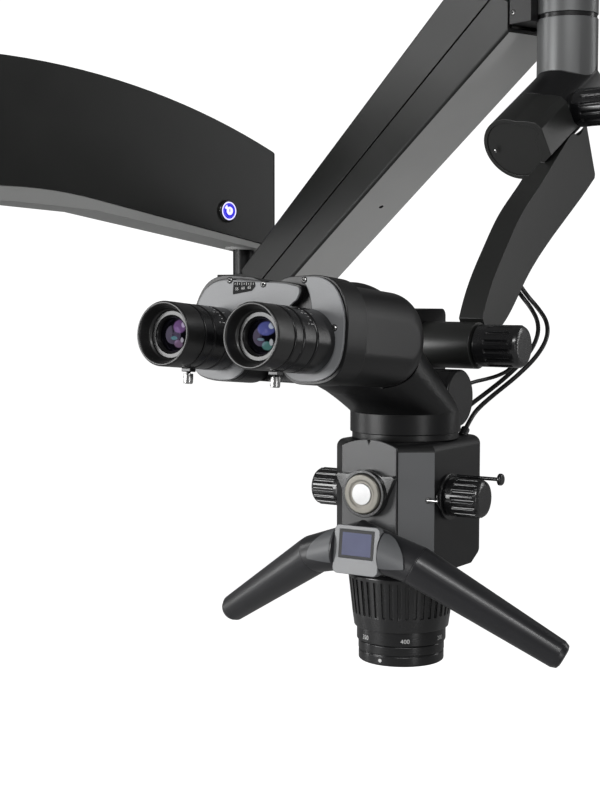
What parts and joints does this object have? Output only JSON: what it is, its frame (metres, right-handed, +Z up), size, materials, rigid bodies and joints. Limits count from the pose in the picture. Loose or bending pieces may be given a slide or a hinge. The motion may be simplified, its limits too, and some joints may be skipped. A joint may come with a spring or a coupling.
{
  "type": "surgical microscope head and arm",
  "caption": "Surgical microscope: binocular head with focusing objective and handles on a bent arm, tilting, swivelling and balanced by a spring arm and an arched main arm",
  "frame": {"origin": "centre of the column socket's mouth, where the stand's pole enters", "axes": "+Z up along the column, +X to the operator's right, -Y towards the operator"},
  "size_m": [0.7836, 0.7134, 0.6],
  "materials": {
    "arm_black": "satin",
    "underside_grey": "satin",
    "spindle_grey": "satin metallic",
    "head_black": "satin, fine texture",
    "plate_grey": "satin",
    "knob_black": "semi gloss",
    "barrel_black": "black anodised",
    "cup_rubber": "matt",
    "grip_black": "soft touch",
    "bezel_grey": "satin",
    "screen_glass": "gloss",
    "lens_glass": "coated",
    "steel": "brushed",
    "button_blue": "lit",
    "lead_black": "satin"
  },
  "bodies": {
    "column": {"column_socket": "arm_black"},
    "main_arm": {"main_arm_housing": "arm_black", "main_arm_base_plate": "underside_grey", "elbow_post": "steel", "power_button_bezel": "knob_black"},
    "power_button": {"power_button_cap": "button_blue"},
    "elbow": {"elbow_yoke": "arm_black", "yoke_pivot_pins": "steel"},
    "spring_arm": {"arm_beam": "steel", "balance_spring": "steel", "arm_upper_cover": "arm_black", "arm_lower_cover": "arm_black"},
    "tie_link": {"tie_rod": "steel"},
    "arm_end": {"end_block": "arm_black", "end_block_pins": "steel"},
    "spindle": {"spindle_knuckle": "spindle_grey"},
    "upper_clutch": {"upper_clutch_knob": "knob_black"},
    "carrier_arm": {"bent_arm": "arm_black", "arm_pocket_cover": "arm_black", "lead_outer": "lead_black", "lead_inner": "lead_black", "lead_short": "lead_black"},
    "lower_clutch": {"lower_clutch_knob": "knob_black"},
    "head": {"tilt_shaft": "steel", "carrier": "head_black", "carrier_cap": "head_black", "body_shell": "head_black", "front_panel": "plate_grey", "front_cap": "plate_grey", "knob_flanges": "knob_black", "binocular_base": "head_black", "objective_barrel": "barrel_black", "index_ring": "barrel_black", "objective_glass": "lens_glass", "handle_hub": "head_black", "display_bezel": "bezel_grey", "display_glass": "screen_glass", "handle_right": "grip_black", "handle_left": "grip_black"},
    "filter_wheel": {"filter_ring": "knob_black"},
    "magnification": {"magnification_drum": "barrel_black", "magnification_knob_right": "knob_black", "magnification_knob_left": "knob_black"},
    "pull_rod": {"filter_pull_rod": "steel"},
    "focus": {"focus_ring": "barrel_black", "distance_ring": "barrel_black"},
    "focus_cell": {"focus_lens_cell": "barrel_black"},
    "binocular": {"binocular_drum": "head_black"},
    "right_tube": {"prism_box_right": "head_black", "prism_plate_right": "plate_grey", "eyepiece_sleeve_right": "barrel_black", "eye_lens_right": "lens_glass"},
    "left_tube": {"prism_box_left": "head_black", "prism_plate_left": "plate_grey", "eyepiece_sleeve_left": "barrel_black", "eye_lens_left": "lens_glass"},
    "right_dioptre": {"dioptre_ring_right": "barrel_black"},
    "left_dioptre": {"dioptre_ring_left": "barrel_black"},
    "right_cup": {"eyecup_right": "cup_rubber"},
    "left_cup": {"eyecup_left": "cup_rubber"}
  },
  "joints": [
    {"name": "main_arm_swivel", "type": "hinge", "parent": "column", "child": "main_arm", "pos_m": [0, 0, 0.13], "axis": [0, 0, 1], "range_deg": [-170, 170]},
    {"name": "power_press", "type": "slide", "parent": "main_arm", "child": "power_button", "axis": [-0.9682, 0.2502, 0], "range_m": [0, 0.002], "stiffness_N_per_m": 300, "springref_m": -0.001},
    {"name": "elbow_swivel", "type": "hinge", "parent": "main_arm", "child": "elbow", "pos_m": [0.1411, 0.546, -0.01], "axis": [0, 0, 1], "range_deg": [-30, 150]},
    {"name": "spring_arm_lift", "type": "hinge", "parent": "elbow", "child": "spring_arm", "pos_m": [0.20897, 0.52197, 0.0125], "axis": [-0.3338, -0.9426, 0], "range_deg": [-60, 3]},
    {"name": "tie_rod_swing", "type": "hinge", "parent": "elbow", "child": "tie_link", "pos_m": [0.20897, 0.52197, -0.0075], "axis": [-0.3338, -0.9426, 0], "range_deg": [-60, 3]},
    {"name": "arm_end_level", "type": "hinge", "parent": "spring_arm", "child": "arm_end", "pos_m": [0.54172, 0.40413, 0.2654], "axis": [-0.3338, -0.9426, 0], "range_deg": [-3, 60]},
    {"name": "spindle_swivel", "type": "hinge", "parent": "arm_end", "child": "spindle", "pos_m": [0.6073, 0.3809, 0.27], "axis": [0, 0, 1], "range_deg": [-90, 90]},
    {"name": "upper_clutch_turn", "type": "hinge", "parent": "spindle", "child": "upper_clutch", "pos_m": [0.64698, 0.34832, 0.16151], "axis": [0.9829, -0.184, 0], "range_deg": [-180, 180]},
    {"name": "oblique_roll", "type": "hinge", "parent": "spindle", "child": "carrier_arm", "pos_m": [0.59669, 0.3242, 0.13885], "axis": [-0.1516, -0.8101, -0.5664], "range_deg": [-45, 15]},
    {"name": "head_tilt", "type": "hinge", "parent": "carrier_arm", "child": "head", "pos_m": [0.6054, 0.1702, -0.0355], "axis": [1, 0, 0], "range_deg": [-30, 60], "deforming": ["lead_outer", "lead_inner", "lead_short"]},
    {"name": "lower_clutch_turn", "type": "hinge", "parent": "head", "child": "lower_clutch", "pos_m": [0.6454, 0.1702, -0.0355], "axis": [1, 0, 0], "range_deg": [-180, 180]},
    {"name": "filter_turn", "type": "hinge", "parent": "head", "child": "filter_wheel", "pos_m": [0.5954, 0.0572, -0.139], "axis": [0, -1, 0], "range_deg": [-35, 35]},
    {"name": "magnification_turn", "type": "hinge", "parent": "head", "child": "magnification", "pos_m": [0.5954, 0.1062, -0.1437], "axis": [1, 0, 0], "continuous": true},
    {"name": "pull_rod_slide", "type": "slide", "parent": "head", "child": "pull_rod", "axis": [1, 0, 0], "range_m": [-0.004, 0.005]},
    {"name": "focus_turn", "type": "hinge", "parent": "head", "child": "focus", "pos_m": [0.5954, 0.1102, -0.23], "axis": [0, 0, 1], "range_deg": [0, 120]},
    {"name": "focus_cell_slide", "type": "slide", "parent": "head", "child": "focus_cell", "axis": [0, 0, 1], "range_m": [0, 0.008]},
    {"name": "binocular_tilt", "type": "hinge", "parent": "head", "child": "binocular", "pos_m": [0.5954, 0.0342, -0.027], "axis": [1, 0, 0], "range_deg": [-80, 10]},
    {"name": "eye_distance_right", "type": "hinge", "parent": "binocular", "child": "right_tube", "pos_m": [0.5954, -0.05464, -0.00913], "axis": [0, -0.996, 0.0889], "range_deg": [-14, 6]},
    {"name": "eye_distance_left", "type": "hinge", "parent": "binocular", "child": "left_tube", "pos_m": [0.5954, -0.05464, -0.00913], "axis": [0, -0.996, 0.0889], "range_deg": [-6, 14]},
    {"name": "dioptre_right_turn", "type": "hinge", "parent": "right_tube", "child": "right_dioptre", "pos_m": [0.6289, -0.10396, -0.0218], "axis": [0, -0.996, 0.0889], "range_deg": [-60, 60]},
    {"name": "dioptre_left_turn", "type": "hinge", "parent": "left_tube", "child": "left_dioptre", "pos_m": [0.5619, -0.10396, -0.0218], "axis": [0, -0.996, 0.0889], "range_deg": [-60, 60]},
    {"name": "eyecup_right_slide", "type": "slide", "parent": "right_tube", "child": "right_cup", "axis": [0, -0.996, 0.0889], "range_m": [0, 0.006]},
    {"name": "eyecup_left_slide", "type": "slide", "parent": "left_tube", "child": "left_cup", "axis": [0, -0.996, 0.0889], "range_m": [0, 0.006]}
  ],
  "couplings": [
    {"joint": "tie_rod_swing", "follows": "spring_arm_lift", "ratio": 1},
    {"joint": "arm_end_level", "follows": "spring_arm_lift", "ratio": -1},
    {"joint": "focus_cell_slide", "follows": "focus_turn", "m_per_rad": 0.0038197},
    {"joint": "eye_distance_left", "follows": "eye_distance_right", "ratio": -1}
  ]
}
